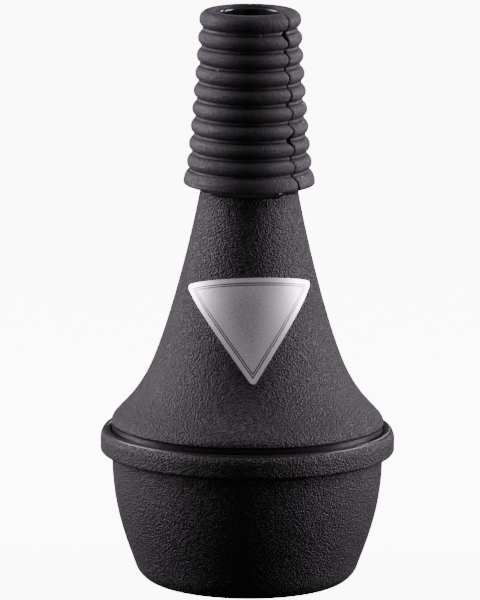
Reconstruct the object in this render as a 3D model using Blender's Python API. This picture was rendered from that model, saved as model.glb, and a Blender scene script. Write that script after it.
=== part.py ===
"""Trumpet practice mute, standing on its closed end.

A spun metal cone and a spun metal cup are joined by a rolled rim. A ribbed rubber sleeve
is cemented round the cone's neck and seals the mute in the bell. Metres, +Z up. The origin
is the middle of the base, and the nameplate faces -Y.
"""
import math

import bmesh
import bpy

# Sheet and clearances
SHEET = 0.0008              # metal of the cone and the cup
CLEARANCE = 0.0003          # between pieces that touch or are glued

# Cup, from the base up
BASE_FLAT_RADIUS = 0.02485  # outer edge of the flat ring that it stands on
BASE_CORNER = 0.00744       # round between that ring and the wall
BASE_WALL_TILT = 19.9       # degrees that the wall leans out above the corner
CUP_HEIGHT = 0.0377         # floor to the underside of the rim
CUP_LOW_PULL = 0.0074       # how far the wall keeps its lean at the bottom
CUP_HIGH_PULL = 0.0150      # how far the wall keeps upright at the top
CUP_STEP_IN = 0.00027       # the cup is this much slimmer than the cone's skirt
DISH_RADIUS = 0.0110        # shallow dish in the middle of the base
DISH_DEPTH = 0.0012
DISH_SLOPE = 0.0014

# Rolled rim
RIM_OVERHANG = 0.0031       # beyond the cone's skirt
RIM_INNER_BEND = 0.0010     # cup wall out to the rim's underside
RIM_LOWER_EDGE = 0.0011     # round at the rim's lower edge
RIM_FACE = 0.0030           # upright face between the two rounds
RIM_SHOULDER = 0.0042       # long round above the face
RIM_SHOULDER_TURN = 36.0    # degrees
RIM_LIP_EDGE = 0.0011       # tight round at the lip
RIM_LIP_FALL = 25.0         # degrees that the lip dips inwards
LIP_CLEARANCE = 0.00035     # lip to skirt

# Cone, from the rim up
SKIRT_RADIUS = 0.03895      # straight stretch that the rim holds
SKIRT_RISE = 0.0016         # how far it shows above the rim
SKIRT_BEND = 0.0003         # skirt out to its flange
FLANGE_WIDTH = 0.00145      # held flange, from the skirt outwards
SHOULDER_PULL = 0.0031
FLARE_RISE = 0.0153         # skirt to the middle of the flare
FLARE_RADIUS = 0.02833
FLARE_ANGLE = 26.1          # degrees from upright
FLARE_LOW_PULL = 0.01184
FLARE_HIGH_PULL = 0.01026
CONE_RISE = 0.0536          # middle of the flare to the sleeve's foot
CONE_TOP_RADIUS = 0.01367
CONE_TOP_ANGLE = 9.83       # degrees from upright
CONE_TOP_PULL = 0.0190
NECK_RISE = 0.0484          # sleeve's foot to the end of the neck
NECK_TOP_RADIUS = 0.00985
NECK_TOP_ANGLE = 3.2        # degrees from upright
NECK_PULL = 0.0090

# Ribbed sleeve
SLEEVE_LENGTH = 0.04995
SLEEVE_WALL_TOP = 0.0032    # rubber under the valleys, at the mouth
SLEEVE_WALL_FOOT = 0.0036   # and at the foot
RIB_COUNT = 8
RIB_HEIGHT = 0.0011
RIB_HALF_WIDTH = 0.0019
RIB_PITCH = 0.00506
LAST_RIB_RISE = 0.0067      # sleeve's foot to the lowest rib
BEAD_RADIUS = 0.0027        # round bead at the mouth
MOUTH_ROUND = 0.0005        # inner edge of the mouth
FOOT_FLANGE_HEIGHT = 0.0041
FOOT_FLANGE_PROUD = 0.0001  # beyond the line of the ribs
FOOT_EDGE = 0.00055
SEAM_AZIMUTH = -41.5        # degrees from +X, where the wrapped strip meets itself
SEAM_GAP = 0.0005

# Cement squeezed out under the sleeve
CEMENT_WIDTH = 0.0013
CEMENT_HEIGHT = 0.0010

# Throat tube
TUBE_WALL = 0.00045
TUBE_LENGTH = 0.0500
TUBE_LIP = 0.0005           # thickness of the lip that covers the neck's end

# Sealing ring in the rim
SEAL_INSET = 0.0004         # inner edge inside the skirt's outer face
SEAL_CORNER = 0.0004

# Damping ring on the cup's floor
PAD_INNER_RADIUS = 0.0135
PAD_OUTER_RADIUS = 0.0245
PAD_THICKNESS = 0.0050
PAD_CORNER = 0.0010

# Vent in the base
VENT_BORE = 0.0017          # radius of the air way
VENT_WALL = 0.0005
VENT_HEAD_RADIUS = 0.0040
VENT_HEAD = 0.0005
VENT_ROLL_RADIUS = 0.0034
WASHER_RADIUS = 0.0058
WASHER_THICKNESS = 0.0006

# Nameplate, as a flat triangle point down, bent round the cone
PLATE_WIDTH = 0.0403
PLATE_HEIGHT = 0.0302
PLATE_CORNER = 0.0016
PLATE_THICKNESS = 0.0003
PLATE_DROP = 0.0238         # sleeve's foot to the plate's top edge
PLATE_AZIMUTH = -88.8       # degrees from +X, at the middle of its top edge
PLATE_TILT = 1.7            # degrees that it is stuck on askew, right corner up
PLATE_COLUMNS = 12
PLATE_ROWS = 9

# Facets
TURN_STEPS = 36
SMALL_STEPS = 20
CORNER_STEPS = 3
SMOOTH_ANGLE = 40.0

# Levels that the pieces share
RIM_RADIUS = SKIRT_RADIUS + RIM_OVERHANG
CUP_RADIUS = SKIRT_RADIUS - CUP_STEP_IN


def arc(centre, radius, start, end, steps=CORNER_STEPS):
    """Points on a circle from one angle to another, in degrees from the outward direction."""
    angles = [math.radians(start + (end - start) * i / steps) for i in range(steps + 1)]
    return [(centre[0] + radius * math.cos(a), centre[1] + radius * math.sin(a)) for a in angles]


def step_along(point, angle, distance):
    """The point a distance away, at an angle in degrees from the outward direction."""
    a = math.radians(angle)
    return (point[0] + distance * math.cos(a), point[1] + distance * math.sin(a))


def curve(start, leave, arrive, end, steps):
    """Cubic curve from start to end, pulled by the two points between them."""
    points = []
    for i in range(steps + 1):
        t = i / steps
        weights = ((1 - t) ** 3, 3 * (1 - t) ** 2 * t, 3 * (1 - t) * t * t, t ** 3)
        pulls = (start, leave, arrive, end)
        points.append(tuple(sum(w * p[k] for w, p in zip(weights, pulls)) for k in (0, 1)))
    return points


def tidy(path):
    """The path without points that repeat the one before."""
    kept = [path[0]]
    for point in path[1:]:
        if math.dist(point, kept[-1]) > 1e-6:
            kept.append(point)
    return kept


def beside(path, distance):
    """The path moved to its left by a distance, with its corners mitred."""
    moved = []
    for i, point in enumerate(path):
        before = path[max(i - 1, 0)]
        after = path[min(i + 1, len(path) - 1)]
        turns = []
        for a, b in ((before, point), (point, after)):
            length = math.dist(a, b)
            if length:
                turns.append((-(b[1] - a[1]) / length, (b[0] - a[0]) / length))
        normal = [sum(n[k] for n in turns) / len(turns) for k in (0, 1)]
        size = normal[0] ** 2 + normal[1] ** 2
        moved.append((point[0] + distance * normal[0] / size, point[1] + distance * normal[1] / size))
    return moved


def radius_at(path, height):
    """Radius of a turned path at a height, or of its nearer end past its ends."""
    for (r0, z0), (r1, z1) in zip(path, path[1:]):
        if min(z0, z1) <= height <= max(z0, z1) and z0 != z1:
            return r0 + (r1 - r0) * (height - z0) / (z1 - z0)
    ends = sorted((path[0], path[-1]), key=lambda point: abs(point[1] - height))
    return ends[0][0]


def material(name, colour, roughness, metallic=0.0):
    """A plain finish for one sub-part."""
    finish = bpy.data.materials.new(name)
    finish.use_nodes = True
    shader = finish.node_tree.nodes["Principled BSDF"]
    shader.inputs["Base Color"].default_value = (*colour, 1.0)
    shader.inputs["Roughness"].default_value = roughness
    shader.inputs["Metallic"].default_value = metallic
    return finish


def add_object(name, bm, finish):
    """An object of the mesh, its faces out and its round faces smooth."""
    bmesh.ops.recalc_face_normals(bm, faces=bm.faces)
    mesh = bpy.data.meshes.new(name)
    bm.to_mesh(mesh)
    bm.free()
    mesh.shade_smooth()
    mesh.set_sharp_from_angle(angle=math.radians(SMOOTH_ANGLE))
    mesh.materials.append(finish)
    part = bpy.data.objects.new(name, mesh)
    bpy.context.collection.objects.link(part)
    return part


def turned(name, section, finish, steps=TURN_STEPS):
    """A ring turned from a closed section of (radius, height) points."""
    bm = bmesh.new()
    verts = [bm.verts.new((r, 0.0, z)) for r, z in tidy(section)]
    edges = [bm.edges.new((a, b)) for a, b in zip(verts, verts[1:] + verts[:1])]
    bmesh.ops.spin(bm, geom=verts + edges, axis=(0, 0, 1), cent=(0, 0, 0),
                   angle=math.tau, steps=steps, use_merge=True)
    return add_object(name, bm, finish)


def split_turned(name, section, finish, azimuth, gap, steps=TURN_STEPS):
    """A turned ring with a narrow slit through it at one azimuth, in degrees."""
    middle = sum(r for r, _ in section) / len(section)
    half_slit = gap / 2 / middle
    start = math.radians(azimuth) + half_slit
    bm = bmesh.new()
    verts = [bm.verts.new((r * math.cos(start), r * math.sin(start), z)) for r, z in tidy(section)]
    edges = [bm.edges.new((a, b)) for a, b in zip(verts, verts[1:] + verts[:1])]
    swept = bmesh.ops.spin(bm, geom=verts + edges, axis=(0, 0, 1), cent=(0, 0, 0),
                           angle=math.tau - 2 * half_slit, steps=steps, use_merge=False)
    last_edges = [item for item in swept["geom_last"] if isinstance(item, bmesh.types.BMEdge)]
    for loop in (edges, last_edges):
        bmesh.ops.contextual_create(bm, geom=loop)
    return add_object(name, bm, finish)


# Outer faces of the cup and the cone

def cup_wall_foot():
    """Where the base's round corner meets the wall."""
    centre = (BASE_FLAT_RADIUS, BASE_CORNER)
    return step_along(centre, -BASE_WALL_TILT, BASE_CORNER)


def cup_wall_path():
    """Outer face of the cup from the vent hole to the rim's inner bend."""
    foot = cup_wall_foot()
    bend = (CUP_RADIUS, CUP_HEIGHT - RIM_INNER_BEND)
    path = [(vent_hole_radius(), DISH_DEPTH), (DISH_RADIUS, DISH_DEPTH), (DISH_RADIUS + DISH_SLOPE, 0.0)]
    path += arc((BASE_FLAT_RADIUS, BASE_CORNER), BASE_CORNER, -90, -BASE_WALL_TILT, 4)
    leave = step_along(foot, 90 - BASE_WALL_TILT, CUP_LOW_PULL)
    path += curve(foot, leave, (bend[0], bend[1] - CUP_HIGH_PULL), bend, 6)
    return path


def rim_path():
    """Outer face of the rim, from the cup's wall to the end of the lip."""
    bend_centre = (CUP_RADIUS + RIM_INNER_BEND, CUP_HEIGHT - RIM_INNER_BEND)
    path = arc(bend_centre, RIM_INNER_BEND, 180, 90, 2)
    edge_centre = (RIM_RADIUS - RIM_LOWER_EDGE, CUP_HEIGHT + RIM_LOWER_EDGE)
    path += arc(edge_centre, RIM_LOWER_EDGE, -90, 0)
    shoulder_centre = (RIM_RADIUS - RIM_SHOULDER, edge_centre[1] + RIM_FACE)
    path += arc(shoulder_centre, RIM_SHOULDER, 0, RIM_SHOULDER_TURN)
    lip_centre = step_along(path[-1], RIM_SHOULDER_TURN + 180, RIM_LIP_EDGE)
    path += arc(lip_centre, RIM_LIP_EDGE, RIM_SHOULDER_TURN, 90 + RIM_LIP_FALL, 4)
    lip_end_radius = SKIRT_RADIUS + LIP_CLEARANCE
    reach = (path[-1][0] - lip_end_radius) / math.cos(math.radians(RIM_LIP_FALL))
    path.append(step_along(path[-1], 180 + RIM_LIP_FALL, reach))
    return path


def rim_top():
    return max(z for _, z in rim_path())


def lip_underside():
    """Lowest point of the lip, which holds the cone's flange down."""
    return beside(rim_path(), SHEET)[-1][1]


def skirt_top():
    return rim_top() + SKIRT_RISE


def flare_level():
    return skirt_top() + FLARE_RISE


def sleeve_foot():
    return flare_level() + CONE_RISE


def neck_end():
    return sleeve_foot() + NECK_RISE


def sleeve_top():
    return sleeve_foot() + SLEEVE_LENGTH


def cone_flange_top():
    return lip_underside() - CLEARANCE


def neck_path():
    """Outer face of the neck inside the sleeve, from its end down."""
    end = (NECK_TOP_RADIUS, neck_end())
    foot = (CONE_TOP_RADIUS, sleeve_foot())
    leave = step_along(end, -90 + NECK_TOP_ANGLE, NECK_PULL)
    return curve(end, leave, step_along(foot, 90 + CONE_TOP_ANGLE, NECK_PULL), foot, 4)


def cone_path():
    """Outer face of the cone from the sleeve's foot to the top of the skirt."""
    foot = (CONE_TOP_RADIUS, sleeve_foot())
    flare = (FLARE_RADIUS, flare_level())
    skirt = (SKIRT_RADIUS, skirt_top())
    path = curve(foot, step_along(foot, -90 + CONE_TOP_ANGLE, CONE_TOP_PULL),
                 step_along(flare, 90 + FLARE_ANGLE, FLARE_HIGH_PULL), flare, 6)
    path += curve(flare, step_along(flare, -90 + FLARE_ANGLE, FLARE_LOW_PULL),
                  (skirt[0], skirt[1] + SHOULDER_PULL), skirt, 9)
    return tidy(path)


# Pieces

def make_body_cone(finish):
    """Spun cone with its neck, flare, skirt and the flange that the rim holds."""
    flange_z = cone_flange_top()
    bend_centre = (SKIRT_RADIUS + SKIRT_BEND, flange_z + SKIRT_BEND)
    outside = neck_path() + cone_path() + arc(bend_centre, SKIRT_BEND, 180, 270, 2)
    outside.append((SKIRT_RADIUS + FLANGE_WIDTH, flange_z))
    outside = tidy(outside)
    inside = beside(outside, -SHEET)
    return turned("body_cone", outside + inside[::-1], finish)


def make_bottom_cup(finish):
    """Spun cup with its dished base, its wall and the rim rolled over the cone's flange."""
    outside = tidy(cup_wall_path() + rim_path())
    inside = beside(outside, SHEET)
    return turned("bottom_cup", outside + inside[::-1], finish)


def make_rim_seal(finish):
    """Ring of rubber squeezed between the cup's rim and the cone's flange."""
    low = CUP_HEIGHT + SHEET + CLEARANCE
    high = cone_flange_top() - SHEET - CLEARANCE
    inner = SKIRT_RADIUS - SEAL_INSET
    outer = RIM_RADIUS - SHEET - CLEARANCE
    lower_corner = RIM_LOWER_EDGE + CLEARANCE
    section = [(inner, low), (outer - lower_corner, low)]
    section += arc((outer - lower_corner, low + lower_corner), lower_corner, -90, 0, 2)
    section += arc((outer - SEAL_CORNER, high - SEAL_CORNER), SEAL_CORNER, 0, 90, 1)
    section.append((inner, high))
    return turned("rim_seal", section, finish)


def rib_line(height):
    """Radius of the valleys between the ribs at a height on the sleeve."""
    share = (sleeve_top() - height) / SLEEVE_LENGTH
    wall = SLEEVE_WALL_TOP + (SLEEVE_WALL_FOOT - SLEEVE_WALL_TOP) * share
    return radius_at(neck_path(), height) + CLEARANCE + wall


def rib(middle):
    """Outline of one rib from its upper to its lower edge."""
    round_radius = (RIB_HALF_WIDTH ** 2 + RIB_HEIGHT ** 2) / (2 * RIB_HEIGHT)
    half_angle = math.degrees(math.asin(RIB_HALF_WIDTH / round_radius))
    centre = (rib_line(middle) + RIB_HEIGHT - round_radius, middle)
    lean = rib_line(middle - RIB_HALF_WIDTH) - rib_line(middle)
    points = arc(centre, round_radius, half_angle, -half_angle, 4)
    return [(r - lean * (z - middle) / RIB_HALF_WIDTH, z) for r, z in points]


def sleeve_outline():
    """Outer face of the sleeve, from the mouth's inner edge down to the foot."""
    top, foot = sleeve_top(), sleeve_foot()
    bore = NECK_TOP_RADIUS + CLEARANCE
    bead_z = top - BEAD_RADIUS
    bead_centre = (rib_line(bead_z) + RIB_HEIGHT - BEAD_RADIUS, bead_z)
    bead_end = -math.degrees(math.acos((BEAD_RADIUS - RIB_HEIGHT) / BEAD_RADIUS))
    path = arc((bore + MOUTH_ROUND, top - MOUTH_ROUND), MOUTH_ROUND, 180, 90, 2)
    path += arc(bead_centre, BEAD_RADIUS, 90, bead_end, 7)
    lowest = foot + LAST_RIB_RISE
    for i in range(RIB_COUNT):
        path += rib(lowest + RIB_PITCH * (RIB_COUNT - 1 - i))
    shoulder = foot + FOOT_FLANGE_HEIGHT
    inner = rib_line(shoulder)
    outer = rib_line(foot) + RIB_HEIGHT + FOOT_FLANGE_PROUD
    fall = FOOT_FLANGE_HEIGHT - FOOT_EDGE
    for i in range(5):
        turn = math.radians(90 * i / 4)
        path.append((inner + (outer - inner) * math.sin(turn), shoulder - fall * (1 - math.cos(turn))))
    path += arc((outer - FOOT_EDGE, foot + FOOT_EDGE), FOOT_EDGE, 0, -90, 2)
    return tidy(path)


def make_ribbed_sleeve(finish):
    """Rubber strip moulded with ribs, wrapped round the neck and butted at one seam."""
    bore = [(r + CLEARANCE, z) for r, z in neck_path()]
    bore[-1] = (bore[-1][0], sleeve_foot())
    section = sleeve_outline() + bore[::-1]
    return split_turned("ribbed_sleeve", section, finish, SEAM_AZIMUTH, SEAM_GAP)


def make_cement_bead(finish):
    """Fillet of contact cement squeezed out between the sleeve's foot and the cone."""
    high = sleeve_foot() - CLEARANCE
    low = high - CEMENT_HEIGHT
    inner_high = radius_at(cone_path(), high) + CLEARANCE
    inner_low = radius_at(cone_path(), low) + CLEARANCE
    outer = inner_high + CEMENT_WIDTH
    section = [(inner_low, low), (inner_low + CEMENT_WIDTH * 0.45, low + CEMENT_HEIGHT * 0.15)]
    section += [(outer, high - CEMENT_HEIGHT * 0.4), (outer, high), (inner_high, high)]
    return turned("cement_bead", section, finish)


def make_throat_tube(finish):
    """Thin tube pressed into the neck, with a lip that covers the neck's end."""
    outer = NECK_TOP_RADIUS - SHEET - CLEARANCE
    inner = outer - TUBE_WALL
    lip_low = neck_end() + CLEARANCE
    lip_high = lip_low + TUBE_LIP
    low = lip_high - TUBE_LENGTH
    edge = TUBE_LIP / 2
    section = [(inner, low), (outer, low), (outer, lip_low), (NECK_TOP_RADIUS - edge, lip_low)]
    section += arc((NECK_TOP_RADIUS - edge, lip_low + edge), edge, -90, 90, 4)
    section += arc((inner + edge, lip_high - edge), edge, 90, 180, 2)
    return turned("throat_tube", section, finish)


def make_damping_ring(finish):
    """Felt ring that lies on the cup's floor and takes the ring out of the metal."""
    low = SHEET + CLEARANCE
    high = low + PAD_THICKNESS
    section = []
    for radius, level, start in ((PAD_OUTER_RADIUS, low, -90), (PAD_OUTER_RADIUS, high, 0),
                                 (PAD_INNER_RADIUS, high, 90), (PAD_INNER_RADIUS, low, 180)):
        r = radius - PAD_CORNER if radius == PAD_OUTER_RADIUS else radius + PAD_CORNER
        z = level + PAD_CORNER if level == low else level - PAD_CORNER
        section += arc((r, z), PAD_CORNER, start, start + 90, 2)
    return turned("damping_ring", section, finish)


def vent_barrel_radius():
    return VENT_BORE + VENT_WALL


def vent_hole_radius():
    return vent_barrel_radius() + CLEARANCE


def make_vent_eyelet(finish):
    """Eyelet through the base, the small way out for the player's air."""
    head_high = DISH_DEPTH - CLEARANCE
    head_low = head_high - VENT_HEAD
    roll_low = DISH_DEPTH + SHEET + WASHER_THICKNESS + 2 * CLEARANCE
    roll_high = roll_low + VENT_HEAD
    edge = VENT_HEAD / 2
    barrel = vent_barrel_radius()
    section = [(VENT_BORE, roll_high - edge), (VENT_BORE, head_low + edge)]
    section += arc((VENT_BORE + edge, head_low + edge), edge, 180, 270, 2)
    section += arc((VENT_HEAD_RADIUS - edge, head_low + edge), edge, -90, 90, 4)
    section += [(barrel, head_high), (barrel, roll_low)]
    section += arc((VENT_ROLL_RADIUS - edge, roll_low + edge), edge, -90, 90, 4)
    section += arc((VENT_BORE + edge, roll_high - edge), edge, 90, 180, 2)
    return turned("vent_eyelet", section, finish, SMALL_STEPS)


def make_vent_washer(finish):
    """Washer under the eyelet's rolled end, inside the cup."""
    low = DISH_DEPTH + SHEET + CLEARANCE
    high = low + WASHER_THICKNESS
    inner = vent_hole_radius()
    section = [(inner, low), (WASHER_RADIUS, low), (WASHER_RADIUS, high), (inner, high)]
    return turned("vent_washer", section, finish, SMALL_STEPS)


def plate_half_width(drop):
    """Half width of the rounded triangle at a distance below its top edge."""
    lean = math.atan2(PLATE_WIDTH / 2, PLATE_HEIGHT)
    tip_centre = PLATE_HEIGHT - PLATE_CORNER
    point = tip_centre + PLATE_CORNER / math.sin(lean)
    side = (point - drop) * math.tan(lean)
    corner_x = (point - PLATE_CORNER) * math.tan(lean) - PLATE_CORNER / math.cos(lean)
    if drop < PLATE_CORNER:
        rise = PLATE_CORNER - drop
        return min(side, corner_x + math.sqrt(max(PLATE_CORNER ** 2 - rise ** 2, 0.0)))
    tip_rise = drop - tip_centre
    if tip_rise > -PLATE_CORNER * math.sin(lean):
        return math.sqrt(max(PLATE_CORNER ** 2 - tip_rise ** 2, 0.0))
    return side


def make_nameplate(finish):
    """Bare foil plate, a flat triangle bent round the cone."""
    path = cone_path()
    top = sleeve_foot() - PLATE_DROP
    cone_lean = math.atan2(radius_at(path, top - PLATE_HEIGHT) - radius_at(path, top), PLATE_HEIGHT)
    apex = radius_at(path, top) / math.sin(cone_lean)
    tilt = math.radians(PLATE_TILT)
    drops = [0.0, PLATE_CORNER * 0.3]
    straight = PLATE_HEIGHT - 2 * PLATE_CORNER
    drops += [PLATE_CORNER + straight * i / PLATE_ROWS for i in range(PLATE_ROWS + 1)]
    drops += [PLATE_HEIGHT - PLATE_CORNER * share for share in (0.6, 0.25, 0.05)]
    bm = bmesh.new()
    rows = []
    for drop in drops:
        row = []
        for i in range(PLATE_COLUMNS + 1):
            level = plate_half_width(drop) * (2 * i / PLATE_COLUMNS - 1)
            across = level * math.cos(tilt) + drop * math.sin(tilt)
            down = apex + drop * math.cos(tilt) - level * math.sin(tilt)
            turn = math.radians(PLATE_AZIMUTH) + math.atan2(across, down) / math.sin(cone_lean)
            z = top - (math.hypot(across, down) - apex) * math.cos(cone_lean)
            r = radius_at(path, z) + CLEARANCE / math.cos(cone_lean)
            row.append(bm.verts.new((r * math.cos(turn), r * math.sin(turn), z)))
        rows.append(row)
    for upper, lower in zip(rows, rows[1:]):
        for i in range(PLATE_COLUMNS):
            bm.faces.new((upper[i], lower[i], lower[i + 1], upper[i + 1]))
    bm.normal_update()
    bmesh.ops.solidify(bm, geom=bm.faces[:], thickness=-PLATE_THICKNESS)
    return add_object("nameplate", bm, finish)


def main():
    for old in list(bpy.data.objects):
        bpy.data.objects.remove(old)
    black_metal = material("crackle_black", (0.028, 0.026, 0.030), 0.42)
    cup_metal = material("crackle_black_cup", (0.026, 0.024, 0.028), 0.42)
    sleeve_rubber = material("sleeve_rubber", (0.030, 0.030, 0.032), 0.62)
    seal_rubber = material("seal_rubber", (0.020, 0.020, 0.020), 0.70)
    cement = material("cement", (0.012, 0.012, 0.012), 0.18)
    tube_metal = material("gloss_black", (0.015, 0.015, 0.016), 0.22)
    foil = material("silver_foil", (0.62, 0.62, 0.63), 0.38, 0.9)
    felt = material("grey_felt", (0.16, 0.16, 0.16), 0.95)
    brass = material("brass", (0.72, 0.55, 0.27), 0.32, 1.0)
    steel = material("plated_steel", (0.55, 0.55, 0.56), 0.35, 1.0)
    make_body_cone(black_metal)
    make_bottom_cup(cup_metal)
    make_rim_seal(seal_rubber)
    make_ribbed_sleeve(sleeve_rubber)
    make_cement_bead(cement)
    make_throat_tube(tube_metal)
    make_nameplate(foil)
    make_damping_ring(felt)
    make_vent_eyelet(brass)
    make_vent_washer(steel)


main()
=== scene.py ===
"""Trumpet practice mute: its surfaces, studio and camera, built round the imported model.

Every piece is turned, swept or bent from a few named sizes, in metres, in the model's own
frame: +Z up the mute's axis, the nameplate towards -Y, the origin in the middle of the base.
"""
import logging
import math
from dataclasses import dataclass, replace
from enum import Enum
from typing import Callable

import bmesh
import bpy
from mathutils import Matrix, Vector, noise


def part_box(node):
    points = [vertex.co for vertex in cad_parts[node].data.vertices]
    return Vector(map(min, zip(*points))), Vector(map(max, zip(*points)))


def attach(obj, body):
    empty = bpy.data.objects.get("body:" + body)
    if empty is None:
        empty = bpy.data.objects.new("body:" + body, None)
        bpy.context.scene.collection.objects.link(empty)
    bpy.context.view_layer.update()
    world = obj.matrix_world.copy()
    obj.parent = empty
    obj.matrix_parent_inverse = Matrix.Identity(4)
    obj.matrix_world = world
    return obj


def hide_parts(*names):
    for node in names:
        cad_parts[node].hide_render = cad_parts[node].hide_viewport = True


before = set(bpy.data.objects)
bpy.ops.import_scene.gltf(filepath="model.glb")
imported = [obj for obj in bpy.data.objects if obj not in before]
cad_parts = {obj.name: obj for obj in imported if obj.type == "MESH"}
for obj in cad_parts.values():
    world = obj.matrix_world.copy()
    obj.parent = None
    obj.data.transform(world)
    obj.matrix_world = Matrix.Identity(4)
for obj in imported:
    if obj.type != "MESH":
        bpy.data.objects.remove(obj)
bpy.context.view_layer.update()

BODY = "root"
SAME_PLACE = 2e-6
LOG = logging.getLogger("mute")

Point = tuple[float, float]
Colour = tuple[float, float, float]
Node = bpy.types.Node
Socket = bpy.types.NodeSocket
Material = bpy.types.Material
Piece = bpy.types.Object
BMesh = bmesh.types.BMesh


class Shading(Enum):
    """Angle in degrees, past which the edge between two faces stays sharp."""

    ROUND = 60.0
    CRISP = 35.0


@dataclass(frozen=True)
class Turning:
    """Sizes that every turned piece shares.

    Attributes:
        steps: Facets round the axis of a large piece.
        fine_steps: Facets round the axis of a small piece.
        sheet: Thickness of the spun metal.
        gap: Room between two pieces that touch.
    """

    steps: int = 192
    fine_steps: int = 96
    sheet: float = 0.0008
    gap: float = 0.0003


TURNING = Turning()


def arc(centre: Point, radius: float, start: float, end: float, steps: int) -> list[Point]:
    """Points on a circle in a section.

    Args:
        centre: Radius and height of the circle's centre.
        radius: Its radius.
        start: First angle, in degrees from the outward direction.
        end: Last angle, in degrees.
        steps: Chords between the two.

    Returns:
        The points, as radius and height.
    """
    angles = [math.radians(start + (end - start) * i / steps) for i in range(steps + 1)]
    return [(centre[0] + radius * math.cos(a), centre[1] + radius * math.sin(a)) for a in angles]


def step_along(point: Point, angle: float, distance: float) -> Point:
    """The point a distance away at an angle in degrees from the outward direction."""
    a = math.radians(angle)
    return point[0] + distance * math.cos(a), point[1] + distance * math.sin(a)


def curve(start: Point, leave: Point, arrive: Point, end: Point, steps: int) -> list[Point]:
    """Cubic curve of a section.

    Args:
        start: First point.
        leave: Pull on the curve as it leaves.
        arrive: Pull on the curve as it arrives.
        end: Last point.
        steps: Chords between the two.

    Returns:
        The points, as radius and height.
    """
    points = []
    for i in range(steps + 1):
        t = i / steps
        weights = ((1 - t) ** 3, 3 * (1 - t) ** 2 * t, 3 * (1 - t) * t * t, t ** 3)
        pulls = (start, leave, arrive, end)
        points.append(tuple(sum(w * p[k] for w, p in zip(weights, pulls)) for k in (0, 1)))
    return points


def tidy(path: list[Point]) -> list[Point]:
    """Cleans a path for turning.

    Args:
        path: Points in order.

    Returns:
        The path without points that repeat the one before.
    """
    kept = [path[0]]
    for point in path[1:]:
        if math.dist(point, kept[-1]) > SAME_PLACE:
            kept.append(point)
    return kept


def beside(path: list[Point], distance: float) -> list[Point]:
    """The path moved to its left.

    Args:
        path: Points of one face of a sheet.
        distance: How far to the left the other face lies, negative for the right.

    Returns:
        The moved points, mitred at the corners.
    """
    moved = []
    for i, point in enumerate(path):
        sides = ((path[max(i - 1, 0)], point), (point, path[min(i + 1, len(path) - 1)]))
        normals = [(-(b[1] - a[1]) / math.dist(a, b), (b[0] - a[0]) / math.dist(a, b))
                   for a, b in sides if math.dist(a, b) > 0]
        mean = [sum(n[k] for n in normals) / len(normals) for k in (0, 1)]
        size = mean[0] ** 2 + mean[1] ** 2
        moved.append((point[0] + distance * mean[0] / size, point[1] + distance * mean[1] / size))
    return moved


def radius_at(path: list[Point], height: float) -> float:
    """Looks up a turned path.

    Args:
        path: Points as radius and height.
        height: The height to look up.

    Returns:
        The radius there, or that of the nearer end past the path's ends.
    """
    for (r0, z0), (r1, z1) in zip(path, path[1:]):
        if min(z0, z1) <= height <= max(z0, z1) and z0 != z1:
            return r0 + (r1 - r0) * (height - z0) / (z1 - z0)
    return min((path[0], path[-1]), key=lambda point: abs(point[1] - height))[0]


def smooth(low: float, high: float, value: float) -> float:
    """A smooth rise from 0 at low to 1 at high."""
    t = min(max((value - low) / (high - low), 0.0), 1.0)
    return t * t * (3 - 2 * t)


def polar(radius: float, turn: float, height: float) -> Vector:
    """The point at a radius, an angle in radians round the axis and a height."""
    return Vector((radius * math.cos(turn), radius * math.sin(turn), height))


def section_ring(section: list[Point], steps: int, whole: bool = True) -> BMesh:
    """Turns a closed section round the axis.

    Args:
        section: Radius and height of each corner of the section, in order.
        steps: Facets round the axis.
        whole: False leaves the two ends of the full turn apart and caps them.

    Returns:
        The turned mesh, its faces pointing out.
    """
    bm = bmesh.new()
    verts = [bm.verts.new((r, 0.0, z)) for r, z in tidy(section)]
    edges = [bm.edges.new((a, b)) for a, b in zip(verts, verts[1:] + verts[:1])]
    swept = bmesh.ops.spin(bm, geom=verts + edges, axis=(0, 0, 1), cent=(0, 0, 0),
                           angle=math.tau, steps=steps, use_merge=whole)
    if not whole:
        last = [item for item in swept["geom_last"] if isinstance(item, bmesh.types.BMEdge)]
        for loop in (edges, last):
            bmesh.ops.contextual_create(bm, geom=loop)
    bmesh.ops.recalc_face_normals(bm, faces=bm.faces[:])
    return bm


def finished(name: str, bm: BMesh, finish: Material,
             node: str, shading: Shading = Shading.ROUND) -> Piece:
    """Makes the piece's object, hides the solid that it stands for and sets it on its body.

    Args:
        name: The piece's name.
        bm: Its mesh, which is freed.
        finish: Its material.
        node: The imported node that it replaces.
        shading: How its faces are shaded.

    Returns:
        The piece.
    """
    mesh = bpy.data.meshes.new(name)
    bm.to_mesh(mesh)
    bm.free()
    mesh.shade_smooth()
    mesh.set_sharp_from_angle(angle=math.radians(shading.value))
    mesh.materials.append(finish)
    piece = bpy.data.objects.new(name, mesh)
    bpy.context.collection.objects.link(piece)
    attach(piece, BODY)
    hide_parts(node)
    return piece


# Shader nodes

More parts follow.
